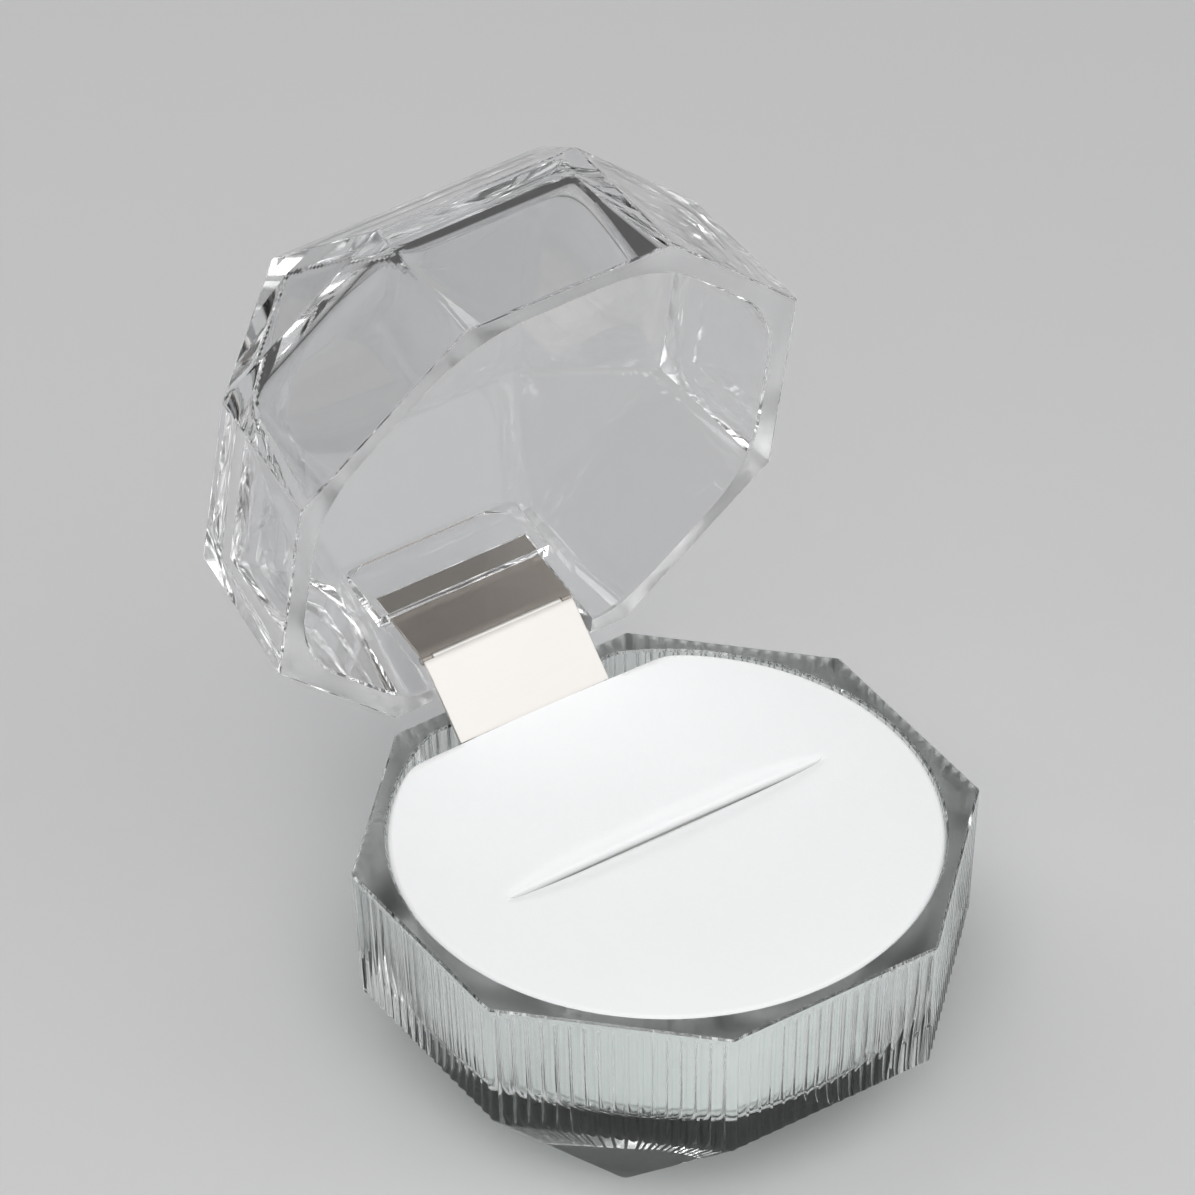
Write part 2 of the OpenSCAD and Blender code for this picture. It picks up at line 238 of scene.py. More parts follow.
def cut_round(radius, reach, panel_steps, arc_steps):
    """A circle cut flat by eight lines, for many heights at once: radius (rows), reach (rows, 8)
    the distance of the line that faces 45 degrees times k. A line cuts the circle at
    arccos(reach / radius) to each side of its own direction. Where two lines meet inside the
    circle there is no arc between them. Gives (rows, columns, 2)."""
    radius = np.asarray(radius)[:, None]
    facing = EIGHTH * np.arange(8)[None, :]
    following = np.roll(reach, -1, axis=1)
    along = (following - reach * math.cos(EIGHTH)) / math.sin(EIGHTH)
    corner_r = np.hypot(reach, along)
    corner_a = facing + np.arctan2(along, reach)
    spread = np.arccos(np.clip(reach / radius, 0, 1))
    round_here = corner_r > radius
    leave = np.where(round_here, facing + spread, corner_a)
    enter = np.where(round_here, facing + EIGHTH - np.roll(spread, -1, axis=1), corner_a)
    rho = np.where(round_here, radius, corner_r)
    t = np.linspace(0, 1, arc_steps + 1)
    angle = leave[..., None] + (enter - leave)[..., None] * t
    arc = rho[..., None, None] * np.stack([np.cos(angle), np.sin(angle)], -1)
    start = np.roll(arc[:, :, -1], 1, axis=1)
    s = np.linspace(0, 1, panel_steps + 1)[1:-1, None]
    panel = start[:, :, None] * (1 - s) + arc[:, :, :1] * s
    rows = arc.shape[0]
    return np.concatenate([panel, arc], axis=2).reshape(rows, -1, 2)


def around(steps):
    """Angles all the way round, in equal steps."""
    return np.linspace(0, 2 * math.pi, steps, endpoint=False)


def soft_round(radius, reach, columns, sharpness):
    """A circle cut by eight lines like cut_round, with every meeting rounded off:
    r = 1 / (radius^-p + sum of (cos(a - 45 k) / reach_k)^p)^(1 / p), where p is the sharpness."""
    a = around(columns)
    facing = EIGHTH * np.arange(8)
    towards = np.clip(np.cos(a[None] - facing[:, None]), 0, None)
    ratio = towards[None] * (np.asarray(radius)[:, None] / reach)[..., None]
    r = np.asarray(radius)[:, None] / (1 + np.sum(ratio**sharpness, axis=1)) ** (1 / sharpness)
    return np.stack([r * np.cos(a), r * np.sin(a)], -1)


def with_height(outlines, heights):
    """Outlines (rows, columns, 2) with the height of each row, or of each point, added."""
    z = np.asarray(heights, float)
    if z.ndim == 1:
        z = np.repeat(z[:, None], outlines.shape[1], axis=1)
    return np.concatenate([outlines, z[..., None]], axis=2)


def tube_of(radius, x0, x1, centre, edge, steps=64):
    """A round bar along X about the line y, z = centre. Its ends are chamfered by `edge`."""
    x = np.array([x0, x0 + edge, x1 - edge, x1])
    r = np.array([radius - edge, radius, radius, radius - edge])
    a = around(steps)
    y = centre[0] + r[:, None] * np.cos(a)
    z = centre[1] + r[:, None] * np.sin(a)
    return np.stack([np.repeat(x[:, None], steps, axis=1), y, z], -1)


# Meshes


def link(name, mesh):
    """An object of this mesh, in the scene."""
    piece = bpy.data.objects.new(name, mesh)
    bpy.context.scene.collection.objects.link(piece)
    return piece


def solid(name, grid, caps=True):
    """A piece from a grid of points (rows, columns, 3), closed round its columns and, with caps,
    by one flat face at each end. Points that coincide are welded."""
    rows, columns = grid.shape[:2]
    index = np.arange(rows * columns).reshape(rows, columns)
    nxt = np.roll(index, -1, axis=1)
    quads = np.stack([index[:-1], nxt[:-1], nxt[1:], index[1:]], -1).reshape(-1, 4).tolist()
    if caps:
        quads += [index[0][::-1].tolist(), index[-1].tolist()]
    mesh = bpy.data.meshes.new(name)
    mesh.from_pydata(grid.reshape(-1, 3).tolist(), [], quads)
    work = bmesh.new()
    work.from_mesh(mesh)
    bmesh.ops.remove_doubles(work, verts=work.verts, dist=WELD)
    bmesh.ops.dissolve_degenerate(work, edges=work.edges, dist=WELD)
    bmesh.ops.recalc_face_normals(work, faces=work.faces)
    work.to_mesh(mesh)
    work.free()
    return link(name, mesh)


def bevelled(piece, width):
    """The same piece with every edge bevelled round, in two segments."""
    work = bmesh.new()
    work.from_mesh(piece.data)
    bmesh.ops.bevel(
        work, geom=work.edges[:], offset=width, segments=2, profile=0.5,
        affect="EDGES", clamp_overlap=True,
    )
    bmesh.ops.recalc_face_normals(work, faces=work.faces)
    work.to_mesh(piece.data)
    work.free()
    return piece


def slab(name, low, high):
    """A straight-sided block between two corners."""
    (x0, y0, z0), (x1, y1, z1) = low, high
    ring = np.array([[x0, y0], [x1, y0], [x1, y1], [x0, y1]])
    return solid(name, with_height(np.stack([ring, ring]), [z0, z1]))


def carve(piece, *steps):
    """Joins or cuts the piece with others, in order. A step is "UNION" or "DIFFERENCE" and a piece,
    which is used up."""
    for how, other in steps:
        cut = piece.modifiers.new("carve", "BOOLEAN")
        cut.operation, cut.solver, cut.object = how, "EXACT", other
    bpy.context.view_layer.update()
    graph = bpy.context.evaluated_depsgraph_get()
    result = bpy.data.meshes.new_from_object(piece.evaluated_get(graph))
    piece.modifiers.clear()
    piece.data = result
    for _, other in steps:
        bpy.data.objects.remove(other)
    return piece


def smooth(piece, angle):
    """Shades the piece smooth, and keeps edges sharp where faces meet at more than `angle`."""
    piece.data.shade_smooth()
    piece.data.set_sharp_from_angle(angle=angle)
    return piece


def swing(piece, angle, centre):
    """Turns the piece's points by `angle` about the line along X through y, z = centre."""
    flat = np.empty(len(piece.data.vertices) * 3)
    piece.data.vertices.foreach_get("co", flat)
    y, z = flat[1::3] - centre[0], flat[2::3] - centre[1]
    flat[1::3] = centre[0] + y * math.cos(angle) - z * math.sin(angle)
    flat[2::3] = centre[1] + y * math.sin(angle) + z * math.cos(angle)
    piece.data.vertices.foreach_set("co", flat)
    piece.data.update()
    return piece


def open_with_lid(piece):
    """Swings what is drawn for the shut lid to the open position."""
    hinge = bpy.context.scene.ringbox_hinge
    return swing(piece, -hinge.open_angle, (hinge.axis_y, hinge.axis_z))


def mark_rim(piece, z, up):
    """Gives the flat faces at height z that face up (1) or down (-1) the second material."""
    level_within, upright = 0.01 * MM, 0.99
    faces = piece.data.polygons
    normal, middle = np.empty(len(faces) * 3), np.empty(len(faces) * 3)
    faces.foreach_get("normal", normal)
    faces.foreach_get("center", middle)
    level = np.abs(middle[2::3] - z) < level_within
    flat = normal[2::3] * up > upright
    faces.foreach_set("material_index", (level & flat).astype(np.int32))
    return piece


# Materials


class Link:
    """A socket's output in a node tree. Sums on it add Math nodes."""

    def __init__(self, tree, socket):
        self.tree, self.socket = tree, socket

    def math(self, operation, *values):
        """A Math node on this value and others."""
        return self.tree.add(
            "ShaderNodeMath", {"operation": operation}, dict(enumerate((self,) + values))
        )

    def __add__(self, other):
        return self.math("ADD", other)

    __radd__ = __add__

    def __mul__(self, other):
        return self.math("MULTIPLY", other)

    __rmul__ = __mul__

    def __sub__(self, other):
        return self.math("SUBTRACT", other)

    def __rsub__(self, other):
        return self.tree.add("ShaderNodeMath", {"operation": "SUBTRACT"}, {0: other, 1: self})


class Finish:
    """The node tree of a material or of the surroundings."""

    def __init__(self, name, kind="materials"):
        self.owner = getattr(bpy.data, kind).new(name)
        self.owner.use_nodes = True
        self.tree = self.owner.node_tree
        self.tree.nodes.clear()

    def add(self, kind, settings=None, sockets=None, output=0):
        """A node of a type, with its settings and then the values or links of its sockets. Gives
        its output by name or number."""
        node = self.tree.nodes.new(kind)
        for key, value in (settings or {}).items():
            setattr(node, key, value)
        for key, value in (sockets or {}).items():
            if isinstance(value, Link):
                self.tree.links.new(value.socket, node.inputs[key])
            else:
                node.inputs[key].default_value = value
        return Link(self, node.outputs[output])

    def place(self, stretch=(1, 1, 1)):
        """Object coordinates, stretched."""
        here = self.add("ShaderNodeTexCoord", output="Object")
        return self.add("ShaderNodeMapping", None, {"Vector": here, "Scale": stretch})

    def noise(self, scale, detail=2.0, stretch=(1, 1, 1)):
        """Noise from 0 to 1 on Object coordinates, in features of about 1 / scale metres."""
        return self.add(
            "ShaderNodeTexNoise", None,
            {"Vector": self.place(stretch), "Scale": scale, "Detail": detail, "Roughness": 0.55},
        )

    def shade(self, low, high, mask):
        """A colour between two colours, by a mask."""
        return self.add(
            "ShaderNodeMix", {"data_type": "RGBA"},
            {"Factor": mask, "A": (*low, 1), "B": (*high, 1)}, output="Result",
        )

    def bump(self, height, strength, distance):
        """A normal from a height, in metres at full strength."""
        return self.add(
            "ShaderNodeBump", None, {"Height": height, "Strength": strength, "Distance": distance}
        )

    def surface(self, sockets):
        """A Principled shader."""
        return self.add("ShaderNodeBsdfPrincipled", None, sockets)

    def done(self, shader, output="ShaderNodeOutputMaterial"):
        """Puts the shader on the output and gives the material or the surroundings."""
        out = self.tree.nodes.new(output)
        self.tree.links.new(shader.socket, out.inputs["Surface"])
        return self.owner


def darker(colour, part):
    """A colour scaled by a number."""
    return tuple(c * part for c in colour)


def clear_plastic(name, colour, rough=POLISHED):
    """Clear moulded plastic with faint flow marks and handling haze. It lets lamps through."""
    look = Finish(name)
    flow = look.noise(180, 1.5, (1, 1, 0.35))
    haze = look.noise(420, 3)
    body = look.surface({
        "Base Color": look.shade(darker(colour, 0.985), colour, look.noise(90, 1)),
        "Roughness": rough + haze * (0.03 + rough / 4),
        "IOR": 1.49,
        "Transmission Weight": 1.0,
        "Normal": look.bump(flow, 0.25, 0.00004),
    })
    through = look.add("ShaderNodeBsdfTransparent", None, {"Color": (*darker(colour, 0.97), 1)})
    lamp_ray = look.add("ShaderNodeLightPath", output="Is Shadow Ray")
    both = look.add("ShaderNodeMixShader", None, {0: lamp_ray, 1: body, 2: through})
    return look.done(both)


def flocked(name, colour):
    """Short matt flock: a fine nap with soft, slightly uneven patches."""
    look = Finish(name)
    nap = look.noise(9000, 2)
    tufts = look.noise(2600, 3)
    patch = look.noise(160, 2)
    height = nap * 0.6 + tufts * 0.4
    return look.done(look.surface({
        "Base Color": look.shade(darker(colour, 0.965), colour, patch * 0.5 + tufts * 0.5),
        "Roughness": 0.88 + nap * 0.1,
        "Specular IOR Level": 0.25,
        "Sheen Weight": 0.25,
        "Sheen Roughness": 0.6,
        "Normal": look.bump(height, 0.35, 0.00006),
    }))


def foamed(name, colour):
    """White foam with small open cells, painted darker where each cell's surface dips towards its
    edges: painted shade.
    """
    look = Finish(name)
    cells = look.add(
        "ShaderNodeTexVoronoi", {"feature": "F1"}, {"Vector": look.place(), "Scale": 3200},
        output="Distance",
    )
    return look.done(look.surface({
        # Painted shade: the colour darkens towards the cells' edges, where the bump below sinks
        "Base Color": look.shade(darker(colour, 0.9), colour, 1 - cells * 0.6),
        "Roughness": 0.9 - cells * 0.1,
        "Specular IOR Level": 0.2,
        "Normal": look.bump(1 - cells, 0.4, 0.0001),
    }))


def plated(name, colour):
    """Satin plated sheet: fine polishing lines across its width and faint clouding."""
    look = Finish(name)
    lines = look.noise(9000, 2, (0.02, 1, 1))
    cloud = look.noise(220, 2)
    return look.done(look.surface({
        "Base Color": look.shade(darker(colour, 0.94), colour, cloud * 0.6 + lines * 0.4),
        "Metallic": 1.0,
        "Roughness": 0.26 + lines * 0.08 + cloud * 0.05,
        "Normal": look.bump(lines, 0.12, 0.00001),
    }))


def pressed_steel(name, colour):
    """Rolled steel of the hinge, a little matt, with fine wear."""
    look = Finish(name)
    roll = look.noise(5000, 2, (0.08, 1, 1))
    wear = look.noise(700, 3)
    return look.done(look.surface({
        "Base Color": look.shade(darker(colour, 0.85), colour, wear),
        "Metallic": 1.0,
        "Roughness": 0.25 + wear * 0.15 + roll * 0.05,
        "Normal": look.bump(roll, 0.2, 0.00001),
    }))


def dress(piece, materials, body, stands_for):
    """Gives a new piece its materials, its body and the nodes that it stands for."""
    for material in materials:
        piece.data.materials.append(material)
    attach(piece, body)
    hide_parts(*stands_for)


# Pieces


def fluted_columns(corners, pitch, edge):
    """Columns round an outline: their side, their place along it from 0 to 1, and their share of
    the flutes' depth, 1 - (2 u / w)^2 at the distance u from the middle of a groove w wide."""
    sides, places, depths = [], [], []
    ridge = 0.1  # Share of the pitch that stays flat on each side of a groove
    local = np.linspace(ridge, 1 - ridge, 11)
    groove = 1 - ((local - 0.5) / (0.5 - ridge)) ** 2
    for i in range(8):
        side = np.linalg.norm(corners[(i + 1) % 8] - corners[i])
        count = math.floor(side / pitch)
        margin = (1 - count * pitch / side) / 2
        flutes = margin + (np.arange(count)[:, None] + local) * pitch / side
        at = np.concatenate([[edge / side], flutes.ravel(), [1 - edge / side]])
        sides.append(np.full(at.size, i))
        places.append(at)
        depths.append(np.concatenate([[0], np.tile(groove, count), [0]]))
    return np.concatenate(sides), np.concatenate(places), np.concatenate(depths)


def along_outline(corners, side, place):
    """Points at their places along the sides of an outline: a (1 - t) + b t."""
    a, b = corners[side], corners[(side + 1) % 8]
    return a + (b - a) * place[:, None]


def base_outside(box):
    """The base's outside, (rows, columns, 3). From the square up, each column runs straight to the
    octagon at the top of the foot, and then up the wall, which widens in proportion to height. The
    grooves are sunk at right angles to their side. They run out where the foot's slope reaches
    their depth, and rise in a quarter circle below the plain land."""
    foot_plan = plan(box.half - box.base_draft, box.back * (1 - box.base_draft / box.half))
    side, place, groove = fluted_columns(foot_plan, box.flute_pitch, box.edge)
    top = along_outline(foot_plan, side, place)
    bottom = along_outline(square(box.foot_w), side, place)
    run = foot_plan[(side + 1) % 8] - foot_plan[side]
    inward = np.stack([-run[:, 1], run[:, 0]], 1) / np.linalg.norm(run, axis=1)[:, None]
    slope = np.sum((bottom - top) * inward, 1) / box.foot_h
    sink = groove * box.flute_depth
    run_out = box.foot_h - sink / slope
    land = box.rim_z - box.flute_land
    scoop = 0.6 * MM  # Radius of the quarter circle at a groove's upper end
    wall_low = box.foot_h + 0.4 * MM

    def facet(z):
        down = ((box.foot_h - z) / box.foot_h)[:, None]
        return np.column_stack([top + (bottom - top) * down, z])

    def wall(z, share, inset=0.0):
        up = min(1, (z - box.foot_h) / (land - box.foot_h))
        widen = 1 + (box.half / (box.half - box.base_draft) - 1) * up
        place_here = (top + inward * (sink * share + inset)[:, None]) * widen
        return np.column_stack([place_here, np.full(len(top), z)])

    underside = bottom * (1 - 2 * box.edge / box.foot_w)
    rows = [np.column_stack([underside, np.zeros(len(top))])]
    rows.append(facet(np.full(len(top), box.edge)))
    rows += [facet(run_out * part) for part in (0.35, 0.7, 1.0)]
    rows += [wall(z, 1.0) for z in np.linspace(wall_low, land - scoop, 6)]
    rows += [
        wall(land - scoop * (1 - t), math.sqrt(1 - t * t)) for t in (0.4, 0.7, 0.9, 1.0)
    ]
    rows += [wall(box.rim_z - box.edge, 0.0), wall(box.rim_z, 0.0, box.edge)]
    return np.stack(rows)


def well_inside(box):
    """The well as a solid: a round cone with its back cut flat, a fillet on its floor and a small
    chamfer at the rim."""
    fillet = 0.8 * MM
    floor = box.rim_z - box.well_depth
    a = np.linspace(0, math.pi / 2, 7)
    upright = np.linspace(floor + fillet, box.rim_z - box.edge, 6)[1:]
    z = np.concatenate([
        floor + fillet * (1 - np.cos(a)), upright, [box.rim_z, box.rim_z + PAST]
    ])
    inset = np.concatenate([
        fillet * (1 - np.sin(a)), np.zeros(upright.size), [-box.edge, -box.edge - PAST]
    ])
    radius = box.well_r - box.well_draft * (box.rim_z - z) / box.well_depth - inset
    # Only the line at the back cuts the circle: the others lie a metre away
    reach = np.full((z.size, 8), 1.0)
    reach[:, 2] = box.inner_back - inset
    return with_height(cut_round(radius, reach, panel_steps=24, arc_steps=22), z)


def notch_cut(hinge):
    """A cut for the hinge's barrel: a round bar along X."""
    half = hinge.width / 2 + hinge.notch_r - hinge.knuckle_r
    centre = (hinge.axis_y, hinge.axis_z)
    bar = tube_of(hinge.notch_r, -half, half, centre, 2 * CUT_EDGE)
    return "DIFFERENCE", solid("notch", bar)


def pocket_cut(box, hinge, low, high):
    """A cut for a hinge leaf, from the back wall's outside inwards, between two heights."""
    half = hinge.width / 2 + POCKET_ROOM
    leaf_y = hinge.axis_y - hinge.knuckle_r
    return "DIFFERENCE", slab("pocket", (-half, leaf_y, low), (half, box.half, high))


def peg(hinge, x, z):
    """A staked peg turned along Y about x, z: a shank rooted in the wall, and a low domed head."""
    root, overhang, columns = 0.3 * MM, 0.4 * MM, 40
    # Shares of the head's height, and of its radius there
    rise, spread = np.array([0, 0.55, 1]), np.array([1, 0.93, 0.55])
    leaf_y = hinge.axis_y - hinge.knuckle_r
    out = leaf_y + hinge.leaf_t
    y = np.concatenate([[leaf_y - root, out], out + hinge.peg_head * rise])
    r = np.concatenate([[hinge.peg_r, hinge.peg_r], (hinge.peg_r + overhang) * spread])
    a = around(columns)
    grid = np.stack([
        x + r[:, None] * np.cos(a), np.repeat(y[:, None], columns, axis=1),
        z + r[:, None] * np.sin(a),
    ], -1)
    return solid("peg", grid)


def both_pegs(hinge, z):
    """The steps that add both pegs of a leaf, at a share of the hinge's width from the middle."""
    share = 0.32
    return [("UNION", peg(hinge, side * share * hinge.width, z)) for side in (-1, 1)]


def base_piece(scene):
    """The clear base, carved from its outside."""
    box, hinge = scene.ringbox_box, scene.ringbox_hinge
    piece = solid("Base_clear", base_outside(box))
    leaf_top = hinge.axis_z - hinge.notch_r - LEAF_GAP
    leaf_low = leaf_top - hinge.leaf_h
    into_notch = 1.2 * MM
    steps = [
        ("DIFFERENCE", solid("well", well_inside(box))),
        notch_cut(hinge),
        pocket_cut(box, hinge, leaf_low - POCKET_ROOM, leaf_top + into_notch),
        *both_pegs(hinge, leaf_top - hinge.leaf_h / 2),
    ]
    return mark_rim(smooth(carve(piece, *steps), FLUTE_TURN), box.rim_z, 1)


def lid_outside(box):
    """The lid's outside, drawn shut: an octagon that narrows a little up its wall, and then runs to
    the square table."""
    octagon = plan(box.half, box.back)
    shrink = 1 - box.lid_draft / box.half
    wall_top = box.lid_z + box.lid_wall_h
    rings = np.stack([octagon, octagon * shrink, square(box.table_w)])
    return with_height(rings, [box.lid_z, wall_top, wall_top + box.crown_h])


def lid_inside(box):
    """The lid's hollow as a solid, drawn shut: a cone cut flat by eight leaning panels, and by the
    planes that run from their tops to a square ceiling. Its inner corners are rounded, also where
    the panels turn over: m = kink + (h - sqrt(h^2 + w^2)) / 2 with h = z - kink stands for the
    lower of z and the kink."""
    rows, columns = 60, 384
    wall_top = box.lid_z + box.lid_wall_h
    ceiling = wall_top + box.crown_h - box.crown_wall
    kink = wall_top - box.crown_wall / 2
    z = np.concatenate([
        [box.lid_z - PAST, box.lid_z], np.linspace(box.lid_z + box.edge, ceiling, rows)
    ])
    flare = np.where(z < box.lid_z + box.edge / 2, box.edge + np.maximum(0, box.lid_z - z), 0)
    radius = box.well_r - box.hollow_draft * (z - box.lid_z) / box.lid_wall_h + flare
    start = box.lid_z - MM  # The panels lean from a millimetre below the rim
    above = z - kink
    lower = kink + (above - np.sqrt(above**2 + box.kink_soft**2)) / 2
    up = (lower - start) / (kink - start)
    over = (z - lower) / (ceiling - kink)
    panel = box.half - box.panel_wall
    wall = panel - box.panel_draft * up
    table = (box.table_w - box.crown_wall) / 2
    straight = wall + (table - (panel - box.panel_draft)) * over
    slanted = wall + (table * math.sqrt(2) - (panel - box.panel_draft)) * over
    behind = box.inner_back + (table - box.inner_back) * over
    reach = np.stack([straight, slanted, behind, slanted, straight, slanted, straight, slanted], 1)
    outline = soft_round(radius, reach + flare[:, None], columns, box.sharpness)
    return with_height(outline, z)


def band_block(box, band):
    """The clear block inside the back wall that holds the band, with its upper corners cut."""
    beside, before, into_wall = 0.85 * MM, 0.7 * MM, 0.7 * MM
    cut_x, cut_z, edge = 1.9 * MM, 0.9 * MM, 0.1 * MM
    side = band.width / 2 + beside
    low = band.crease_z + band.fixed_h
    high = low + band.block_h
    ring = np.array([
        [-side, low], [side, low], [side, high - cut_z],
        [side - cut_x, high], [cut_x - side, high], [-side, high - cut_z],
    ])
    grid = np.stack([
        np.column_stack([ring[:, 0], np.full(len(ring), y), ring[:, 1]])
        for y in (band.front - before, box.inner_back + into_wall)
    ])
    return bevelled(solid("block", grid), edge)


def lid_piece(scene):
    """The clear lid, carved from its outside while shut, and then swung open."""
    box, hinge, band = scene.ringbox_box, scene.ringbox_hinge, scene.ringbox_band
    piece = bevelled(solid("Lid_clear", lid_outside(box)), box.edge)
    beside = 0.4 * MM
    recess = band.width / 2 + beside
    recess_back = 2 * band.crease_y - band.front + POCKET_ROOM
    block_z = band.crease_z + band.fixed_h
    swing_room = slab(
        "swing", (-recess, band.crease_y - band.stay_l / 2, band.crease_z - band.stay_l),
        (recess, recess_back, band.crease_z),
    )
    swing(swing_room, band.stay_turn, (band.crease_y, band.crease_z))
    leaf_low = hinge.axis_z + hinge.notch_r + LEAF_GAP
    leaf_top = leaf_low + hinge.leaf_h
    slot_x = band.width / 2 + SLOT_ROOM
    slot_back = band.front + band.sheet + SLOT_ROOM
    steps = [
        ("DIFFERENCE", solid("hollow", lid_inside(box))),
        ("UNION", band_block(box, band)),
        notch_cut(hinge),
        ("DIFFERENCE", slab(
            "recess", (-recess, band.front, box.lid_z - 2 * PAST), (recess, recess_back, block_z)
        )),
        ("DIFFERENCE", swing_room),
        pocket_cut(box, hinge, leaf_low - hinge.notch_r, leaf_top + POCKET_ROOM),
        ("DIFFERENCE", slab(
            "slot", (-slot_x, band.front - SLOT_ROOM, block_z - 2 * PAST),
            (slot_x, slot_back, block_z + band.tuck + SLOT_ROOM),
        )),
        *both_pegs(hinge, leaf_low + hinge.leaf_h / 2),
    ]
    return open_with_lid(mark_rim(smooth(carve(piece, *steps), SOFT_TURN), box.lid_z, -1))


def pad_outline(radius, back, columns):
    """The pad's plan for each row: a circle cut straight along its back, whose two corners are
    eased. With h = r sin a - back and e half a millimetre, y = back + (h - sqrt(h^2 + e^2)) / 2
    stands for the lower of r sin a and back."""
    a = around(columns)
    r = np.asarray(radius)[:, None]
    y = r * np.sin(a)
    ease = 0.5 * MM
    line = np.asarray(back)[:, None]
    y = 0.5 * (y + line - np.sqrt((y - line) ** 2 + ease * ease))
    return np.stack([r * np.cos(a), y], -1)


def pad_top_rows(pad, sink, columns):
    """Rows of the pad's top from the slit's lip to the rounded edge, moved in by `sink`. The slit
    is a long ellipse. At the share r of the way out from the middle, the height is
    top + crown (1 - r^4), less a dip along the lips."""
    dip_depth, dip_reach, past_end = 0.22 * MM, 0.05, 0.2 * MM
    # Share of the way from lip to edge: close together at the lips, and wider apart past them
    s = np.concatenate([np.linspace(0, 0.12, 9), np.linspace(0.16, 1, 26)])
    radius = pad.radius - sink
    rim = pad_outline([radius - (pad.edge_r - sink)], [pad.back - pad.edge_r], columns)
    a = around(columns)
    long, wide = pad.slit_l / 2 + past_end, pad.slit_w / 2 + pad.lip_r
    slit = np.stack([long * np.cos(a), wide * np.sin(a)], -1)[None]
    flat = slit * (1 - s[:, None, None]) + rim * s[:, None, None]
    r = np.hypot(flat[..., 0], flat[..., 1]) / (radius - pad.edge_r)
    height = pad.top - sink + pad.crown * (1 - np.clip(r, 0, 1) ** 4)
    fade = np.exp(-((s / dip_reach) ** 2))[:, None]
    return with_height(flat, height - dip_depth * fade * np.abs(np.sin(a))[None] ** 0.5)


def lip_rows(pad, lip, depth):
    """Rows up the slit's wall and round to its lip, in a quarter circle: at the turn t from 90
    degrees to 0 they lie lip_r sin t in from the lip, and lip_r (1 - cos t) below it."""
    a = around(len(lip))
    t =np.linspace(math.pi / 2, 0, 7)[:-1, None]
    rows = np.repeat(lip[None], t.size, axis=0)
    rows[..., 1] -= np.sin(a) * (pad.lip_r * np.sin(t))
    rows[..., 2] -= pad.lip_r * (1 - np.cos(t))
    return np.concatenate([rows[:1] - [0, 0, depth], rows])


def edge_rows(pad, sink, columns, bottom, foot_r=0.0, swell=0.0):
    """Rows round the soft edge, r - e (1 - sin t), top - e (1 - cos t), down the side, which leans
    in as the well does, and round its foot the same way. Below the cover's hem the side swells
    out to where the cover was, by (3 h^2 - 2 h^3) over half a millimetre."""
    hem = 0.5 * MM
    slope = 0.0538  # The well's draft over its depth
    e = pad.edge_r - sink
    t = np.linspace(0, math.pi / 2, 8)[1:]
    down = np.linspace(pad.top - pad.edge_r, bottom + foot_r, 34)[1:]
    under = t if foot_r else np.zeros(0)
    z = np.concatenate([
        pad.top - sink - e * (1 - np.cos(t)), down, bottom + foot_r * (1 - np.sin(under))
    ])
    h = np.clip((pad.top - pad.cover_drop - z) / hem, 0, 1)
    lean = slope * np.clip(pad.top - pad.edge_r - z, 0, None)
    out = np.concatenate([
        e * (1 - np.sin(t)), np.zeros(down.size), foot_r * (1 - np.cos(under))
    ]) - swell * h * h * (3 - 2 * h)
    radius = pad.radius - sink - out - lean
    back = pad.back - sink - out
    return with_height(pad_outline(radius, back, columns), z)


def cover_piece(scene):
    """The flocked cover: a sheet from the slit's lips over the edge and down, made thick."""
    pad = scene.ringbox_pad
    columns, into_slit = 320, 0.25 * MM
    top = pad_top_rows(pad, 0.0, columns)
    side = edge_rows(pad, 0.0, columns, pad.top - pad.cover_drop)
    rows = np.concatenate([lip_rows(pad, top[0], into_slit), top, side])
    piece = solid("Pad_cover", rows, caps=False)
    thick = piece.modifiers.new("thickness", "SOLIDIFY")
    thick.thickness = pad.cover_t * FLOCK_SHARE
    thick.offset = -1
    thick.use_even_offset = False
    return smooth(piece, FABRIC_TURN)


def foam_piece(scene):
    """The foam block: the cover's form moved in by its thickness, closed in the slit and below."""
    pad, box = scene.ringbox_pad, scene.ringbox_box
    columns, into_slit = 240, 0.3 * MM
    under_cover, slit_tip, over_floor = 0.05 * MM, 0.2 * MM, 0.02 * MM
    sink = pad.cover_t + under_cover
    top = pad_top_rows(pad, sink, columns)
    lips = lip_rows(pad, top[0], into_slit)
    depth = pad.top - pad.slit_depth
    wall = np.repeat(lips[:1], 3, axis=0)
    wall[..., 2] = (depth + np.array([0, 2, 4]) * MM)[:, None]
    shut = wall[:1].copy()
    shut[..., 1] = 0
    shut[..., 2] = depth - slit_tip
    floor = box.rim_z - box.well_depth + over_floor
    side = edge_rows(pad, sink, columns, floor, pad.foot_r, pad.cover_t * FLOCK_SHARE)
    middle = np.zeros_like(side[-1:])
    middle[..., 2] = floor
    piece = solid("Pad_foam", np.concatenate([shut, wall, lips, top, side, middle]), caps=False)
    return smooth(piece, FABRIC_TURN)


